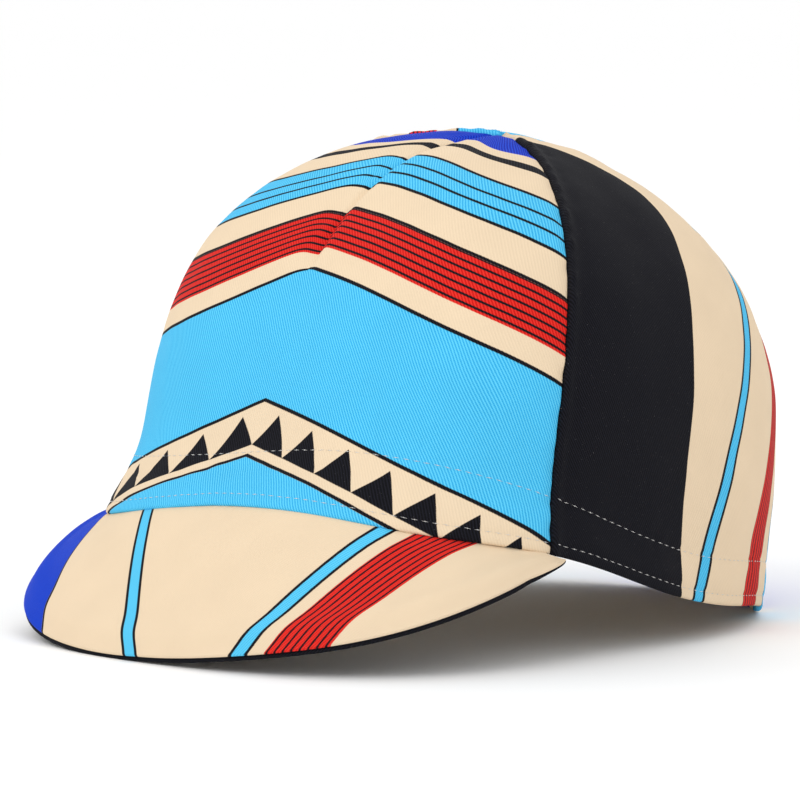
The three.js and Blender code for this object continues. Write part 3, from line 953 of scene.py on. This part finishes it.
def twill(name, paint, ground, fuzz=0.012, depth=1.0, strength=0.45, gathers=False):
    """Cotton twill: slanted ridges of thread, a printed colour with painted shade in its valleys and painted
    light on its ridges, soft unevenness and a little lint
    """
    material, tree, shader = new_material(name)
    uv = tree.nodes.new("ShaderNodeUVMap")
    uv.uv_map = "cloth"
    scaled = tree.nodes.new("ShaderNodeVectorMath")
    scaled.operation = "SCALE"
    scaled.inputs["Scale"].default_value = 1 / MM
    tree.links.new(uv.outputs["UV"], scaled.inputs[0])
    place = scaled.outputs[0]
    parts = tree.nodes.new("ShaderNodeSeparateXYZ")
    tree.links.new(place, parts.inputs[0])
    u, v = parts.outputs["X"], parts.outputs["Y"]

    drift = noise(tree, place, scale=0.035, detail=1)
    wobble = noise(tree, place, scale=0.9)
    fibres = noise(tree, place, scale=5.5, detail=3, roughness=0.7)
    mottle = noise(tree, place, scale=0.06, detail=3)
    specks = noise(tree, place, scale=3.1, detail=1)

    across = calc(tree, "MULTIPLY_ADD", v, ACROSS_V, calc(tree, "MULTIPLY", u, ACROSS_U))
    across = calc(tree, "ADD", across, calc(tree, "MULTIPLY", drift, RIDGE_DRIFT))
    across = calc(tree, "ADD", across, calc(tree, "MULTIPLY", wobble, RIDGE_WOBBLE))
    ridges = wave(tree, across, RIDGE_PITCH)
    along = calc(tree, "MULTIPLY_ADD", v, ACROSS_U, calc(tree, "MULTIPLY", u, -ACROSS_V))
    threads = wave(tree, along, THREAD_PITCH)
    weave = calc(tree, "MULTIPLY", ridges, RIDGE_HEIGHT * depth)
    weave = calc(tree, "MULTIPLY_ADD", threads, THREAD_HEIGHT, weave)
    weave = calc(tree, "MULTIPLY_ADD", fibres, FIBRE_HEIGHT, weave)
    if gathers:
        reach = calc(tree, "POWER", calc(tree, "DIVIDE", u, GATHER_REACH), 2)
        near_seam = calc(tree, "EXPONENT", calc(tree, "MULTIPLY", reach, -1))
        leaning = calc(tree, "MULTIPLY_ADD", u, GATHER_LEAN, v)
        folds = calc(tree, "SINE", calc(tree, "MULTIPLY", leaning, 2 * math.pi / GATHER_PITCH))
        folds = calc(tree, "MULTIPLY_ADD", folds, GATHER_HEIGHT, GATHER_LIFT)
        weave = calc(tree, "ADD", weave, calc(tree, "MULTIPLY", folds, near_seam))

    wander = calc(tree, "MULTIPLY_ADD", fibres, PRINT_WANDER, -PRINT_WANDER / 2)
    cloth = Print(tree, calc(tree, "ADD", u, wander), calc(tree, "ADD", v, wander), ground)
    if paint:
        paint(cloth)
    # Painted shade: the valleys between the twill's ridges, where the printed colour is darkened
    valley = calc(tree, "MULTIPLY", calc(tree, "SUBTRACT", 1, ridges), depth)
    broken = calc(tree, "MULTIPLY_ADD", fibres, FIBRE_BREAKS, -THREAD_BREAKS)
    broken = calc(tree, "MULTIPLY_ADD", threads, THREAD_BREAKS, broken)
    valley = calc(tree, "MULTIPLY", valley, broken, clamp=True)
    # Painted shade in the valleys, deeper for fuller inks
    colour = shade_valleys(tree, cloth.colour, valley)
    # Painted light and shade: lighter on the weave's ridges and gathers, darker in its valleys; the mottle
    # is an uneven tone
    shade = calc(tree, "MULTIPLY_ADD", weave, WEAVE_SHADE, VALLEY_SHADE)
    shade = calc(tree, "MULTIPLY_ADD", mottle, MOTTLE_SHADE, shade)
    woven = vector_calc(tree, "MULTIPLY", colour, shade)
    lint = calc(tree, "MULTIPLY_ADD", specks, LINT_GAIN, LINT_OFFSET, clamp=True)
    lint = calc(tree, "MULTIPLY", lint, LINT_SHARE)
    tree.links.new(mix_colours(tree, lint, woven, LINT), shader.inputs["Base Color"])

    rough = calc(tree, "MULTIPLY_ADD", weave, ROUGHNESS_OF_WEAVE, ROUGHNESS)
    tree.links.new(rough, shader.inputs["Roughness"])
    shader.inputs["Sheen Weight"].default_value = fuzz
    shader.inputs["Sheen Roughness"].default_value = 0.45
    shader.inputs["Specular IOR Level"].default_value = 0.15
    add_bump(tree, shader, weave, strength, WEAVE_RELIEF)
    return material


def thread_material():
    material, tree, shader = new_material("stitching_thread")
    place = tree.nodes.new("ShaderNodeTexCoord").outputs["Object"]
    fuzz = noise(tree, place, scale=2600)
    tree.links.new(mix_colours(tree, fuzz, THREAD_LIGHT, THREAD_DARK), shader.inputs["Base Color"])
    tree.links.new(calc(tree, "MULTIPLY_ADD", fuzz, 0.25, 0.6), shader.inputs["Roughness"])
    add_bump(tree, shader, fuzz, strength=0.4, distance=0.05 * MM)
    shader.inputs["Sheen Weight"].default_value = 0.2
    return material


# Stitches

THREAD_LIFT = 0.05 * MM
STITCH_PITCH = 3.0 * MM


def stitch_tree(material):
    """Nodes that lay stitches along a path whose points hold the cloth's facing"""
    tree = bpy.data.node_groups.new("hem_stitches", "GeometryNodeTree")
    interface = tree.interface
    interface.new_socket("Path", in_out="INPUT", socket_type="NodeSocketGeometry")
    inputs = {}
    for name in ("Pitch", "Length", "Width", "Height", "Sway"):
        inputs[name] = interface.new_socket(name, in_out="INPUT", socket_type="NodeSocketFloat").identifier
    inputs["Seed"] = interface.new_socket("Seed", in_out="INPUT", socket_type="NodeSocketInt").identifier
    interface.new_socket("Stitches", in_out="OUTPUT", socket_type="NodeSocketGeometry")
    nodes, links = tree.nodes, tree.links
    entry = nodes.new("NodeGroupInput")
    to_curve = nodes.new("GeometryNodeMeshToCurve")
    links.new(entry.outputs["Path"], to_curve.inputs["Mesh"])
    resample = nodes.new("GeometryNodeResampleCurve")
    resample.mode = "LENGTH"
    links.new(to_curve.outputs["Curve"], resample.inputs["Curve"])
    links.new(entry.outputs["Pitch"], resample.inputs["Length"])
    ball = nodes.new("GeometryNodeMeshUVSphere")
    ball.inputs["Segments"].default_value = 6
    ball.inputs["Rings"].default_value = 5
    ball.inputs["Radius"].default_value = 0.5
    facing = nodes.new("GeometryNodeInputNamedAttribute")
    facing.data_type = "FLOAT_VECTOR"
    facing.inputs["Name"].default_value = "facing"
    tangent = nodes.new("GeometryNodeInputTangent")
    turn = nodes.new("FunctionNodeAxesToRotation")
    turn.primary_axis = "Z"
    turn.secondary_axis = "X"
    links.new(facing.outputs["Attribute"], turn.inputs["Primary Axis"])
    links.new(tangent.outputs["Tangent"], turn.inputs["Secondary Axis"])
    size = nodes.new("ShaderNodeCombineXYZ")
    for name, axis in (("Length", "X"), ("Width", "Y"), ("Height", "Z")):
        links.new(entry.outputs[name], size.inputs[axis])
    sway = nodes.new("FunctionNodeRandomValue")
    sway.data_type = "FLOAT"
    least = nodes.new("ShaderNodeMath")
    least.operation = "MULTIPLY"
    least.inputs[1].default_value = -1
    links.new(entry.outputs["Sway"], least.inputs[0])
    for name, source in (("Min", least.outputs[0]), ("Max", entry.outputs["Sway"])):
        limit = next(item for item in sway.inputs if item.name == name and item.type == "VALUE")
        links.new(source, limit)
    links.new(entry.outputs["Seed"], sway.inputs["Seed"])
    spin = nodes.new("FunctionNodeAxisAngleToRotation")
    spin.inputs["Axis"].default_value = (0, 0, 1)
    angle = next(item for item in sway.outputs if item.type == "VALUE" and item.enabled)
    links.new(angle, spin.inputs["Angle"])
    turned = nodes.new("FunctionNodeRotateRotation")
    turned.rotation_space = "LOCAL"
    links.new(turn.outputs["Rotation"], turned.inputs["Rotation"])
    links.new(spin.outputs["Rotation"], turned.inputs["Rotate By"])
    stitches = nodes.new("GeometryNodeInstanceOnPoints")
    links.new(resample.outputs["Curve"], stitches.inputs["Points"])
    links.new(ball.outputs["Mesh"], stitches.inputs["Instance"])
    links.new(turned.outputs["Rotation"], stitches.inputs["Rotation"])
    links.new(size.outputs["Vector"], stitches.inputs["Scale"])
    realize = nodes.new("GeometryNodeRealizeInstances")
    links.new(stitches.outputs["Instances"], realize.inputs["Geometry"])
    smooth = nodes.new("GeometryNodeSetShadeSmooth")
    links.new(realize.outputs["Geometry"], smooth.inputs["Geometry"])
    finish = nodes.new("GeometryNodeSetMaterial")
    finish.inputs["Material"].default_value = material
    links.new(smooth.outputs["Geometry"], finish.inputs["Geometry"])
    leave = nodes.new("NodeGroupOutput")
    links.new(finish.outputs["Geometry"], leave.inputs["Stitches"])
    return tree, inputs


def stitch_path():
    """Lines of edges on the hem, just over the cloth, with the cloth's facing at their points"""
    vertices, edges, facings = [], [], []
    for points, facing in STITCH_LINES:
        first = len(vertices)
        vertices += (points + facing * THREAD_LIFT).tolist()
        facings += facing.tolist()
        edges += [(first + step, first + step + 1) for step in range(len(points) - 1)]
    mesh = bpy.data.meshes.new("stitch_path")
    mesh.from_pydata(vertices, edges, [])
    attribute = mesh.attributes.new("facing", "FLOAT_VECTOR", "POINT")
    attribute.data.foreach_set("vector", np.array(facings, dtype=np.float32).ravel())
    return in_scene("stitch_path", mesh)


def lay_stitches(name, tree, inputs, sizes):
    """Stitches along the hem as a plain mesh"""
    path = stitch_path()
    modifier = path.modifiers.new("stitches", "NODES")
    modifier.node_group = tree
    for label, value in sizes.items():
        modifier[inputs[label]] = value
    path.update_tag()
    evaluated = path.evaluated_get(bpy.context.evaluated_depsgraph_get())
    mesh = bpy.data.meshes.new_from_object(evaluated)
    path.modifiers.remove(modifier)
    bpy.data.objects.remove(path)
    mesh.name = name
    return in_scene(name, mesh)


# The cap

FRONT_COLUMNS = 56
BACK_COLUMNS = 110

reverse_cloth = twill("reverse_of_print", None, REVERSE, fuzz=0.1)
front_cloth = twill("front_print", front_print, CREAM)
left_cloth = twill("left_back_print", left_back_print, CREAM, gathers=True)
right_cloth = twill("right_back_print", right_back_print, CREAM)
peak_cloth = twill("peak_print", peak_print, CREAM, depth=0.6, strength=0.3)
black_cloth = twill("black_twill", None, INK)


def right_ear(rise):
    return -ear_seam(rise)


def right_ear_behind(rise):
    return 360 - ear_seam(rise)


def middle_line(rise):
    return np.zeros_like(rise)


half_front = span_columns(FRONT_COLUMNS)
front = crown_panel(
    "front_panel_cloth", [(half_front, right_ear, middle_line), (half_front, middle_line, ear_seam)],
    len(half_front) - 1, front_relief, bevelled=True, materials=[front_cloth, reverse_cloth],
    print_shift=dart_shift,
)
left_back = crown_panel(
    "left_back_panel_cloth", [(span_columns(BACK_COLUMNS), ear_seam, back_seam)],
    0, left_back_relief, bevelled=False, materials=[left_cloth, reverse_cloth],
)
right_back = crown_panel(
    "right_back_panel_cloth", [(span_columns(BACK_COLUMNS), back_seam, right_ear_behind)],
    0, right_back_relief, bevelled=False, materials=[right_cloth, reverse_cloth],
)
peak_top = peak_ply(
    "peak_top_cloth", 0, PEAK_PLY, lip=0, materials=[peak_cloth], on_table=False,
)
peak_under = peak_ply(
    "peak_underside_cloth", UNDERSIDE_TOP, UNDERSIDE_BOTTOM, lip=RIM_LIP, materials=[black_cloth],
    on_table=True,
)

tree, inputs = stitch_tree(thread_material())
stitches = lay_stitches("hem_stitching", tree, inputs, {
    "Pitch": STITCH_PITCH, "Length": 2.3 * MM, "Width": 0.12 * MM, "Height": 0.16 * MM,
    "Sway": 0.1, "Seed": 7,
})
knots = lay_stitches("hem_stitch_knots", tree, inputs, {
    "Pitch": STITCH_PITCH, "Length": 0.5 * MM, "Width": 0.3 * MM, "Height": 0.34 * MM,
    "Sway": 0.9, "Seed": 19,
})

for piece, node, slot in (
    (front, "front_panel", "printed_twill"),
    (left_back, "back_panel_left", "printed_twill"),
    (right_back, "back_panel_right", "printed_twill"),
    (peak_top, "peak_top", "printed_twill"),
    (peak_under, "peak_underside", "black_twill"),
):
    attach(piece, "root")
    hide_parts(node)
for piece in (stitches, knots):
    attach(piece, "root")

# Floor, light and camera. Places are in metres, and the lens and the sensor in millimetres.

FLOOR_HALF = 40
FLOOR_NEAR = (0.94, 0.94, 0.94, 1)
FLOOR_FADE = 0.7
FLOOR_FADE_OFFSET = -0.15
LIGHT_TARGET = Vector((0, 0, 0.07))


def make_floor():
    """A pale floor that whitens away from the cap"""
    mesh = bpy.data.meshes.new("floor")
    corners = [(x * FLOOR_HALF, y * FLOOR_HALF, 0) for x, y in ((-1, -1), (1, -1), (1, 1), (-1, 1))]
    mesh.from_pydata(corners, [], [(0, 1, 2, 3)])
    material, tree, shader = new_material("pale_floor")
    place = tree.nodes.new("ShaderNodeTexCoord").outputs["Object"]
    away = tree.nodes.new("ShaderNodeVectorMath")
    away.operation = "LENGTH"
    tree.links.new(place, away.inputs[0])
    far = calc(tree, "MULTIPLY_ADD", away.outputs["Value"], FLOOR_FADE, FLOOR_FADE_OFFSET, clamp=True)
    tree.links.new(mix_colours(tree, far, FLOOR_NEAR, WHITE), shader.inputs["Base Color"])
    shader.inputs["Roughness"].default_value = 0.9
    mesh.materials.append(material)
    floor = in_scene("floor", mesh)


def direction(azimuth, elevation):
    """From the cap towards a place at an azimuth and an elevation, as the camera's angles are given"""
    a, e = azimuth * DEGREE, elevation * DEGREE
    return Vector((math.sin(a) * math.cos(e), -math.cos(a) * math.cos(e), math.sin(e)))


def add_light(name, azimuth, elevation, distance, size, power):
    light = bpy.data.lights.new(name, "AREA")
    light.shape = "SQUARE"
    light.size = size
    light.energy = power
    lamp = in_scene(name, light)
    away = direction(azimuth, elevation)
    lamp.location = LIGHT_TARGET + away * distance
    lamp.rotation_euler = away.to_track_quat("Z", "Y").to_euler()


CAMERA_TARGET = Vector((-10.22, 0.24, 66.75)) * MM
CAMERA_DISTANCE = 1.5
CAMERA_AZIMUTH = 44.18
CAMERA_ELEVATION = 5.205
CAMERA_ROLL = -0.10
CAMERA_LENS = 224.6
SENSOR = 36


def add_camera():
    data = bpy.data.cameras.new("camera")
    data.lens = CAMERA_LENS
    data.sensor_width = SENSOR
    camera = in_scene("camera", data)
    away = direction(CAMERA_AZIMUTH, CAMERA_ELEVATION)
    camera.location = CAMERA_TARGET + away * CAMERA_DISTANCE
    roll = Quaternion((0, 0, 1), CAMERA_ROLL * DEGREE)
    camera.rotation_mode = "QUATERNION"
    camera.rotation_quaternion = (-away).to_track_quat("-Z", "Y") @ roll
    bpy.context.scene.camera = camera


make_floor()
world = bpy.data.worlds.new("studio")
world.use_nodes = True
background = world.node_tree.nodes["Background"]
background.inputs["Color"].default_value = WHITE
background.inputs["Strength"].default_value = 1.0
bpy.context.scene.world = world
add_light("key", azimuth=5, elevation=40, distance=1.6, size=1.0, power=6.5)
add_light("fill", azimuth=75, elevation=25, distance=1.8, size=1.4, power=1.2)
add_light("rear", azimuth=215, elevation=50, distance=1.8, size=1.2, power=2.5)
bpy.context.scene.view_settings.view_transform = "Standard"
add_camera()
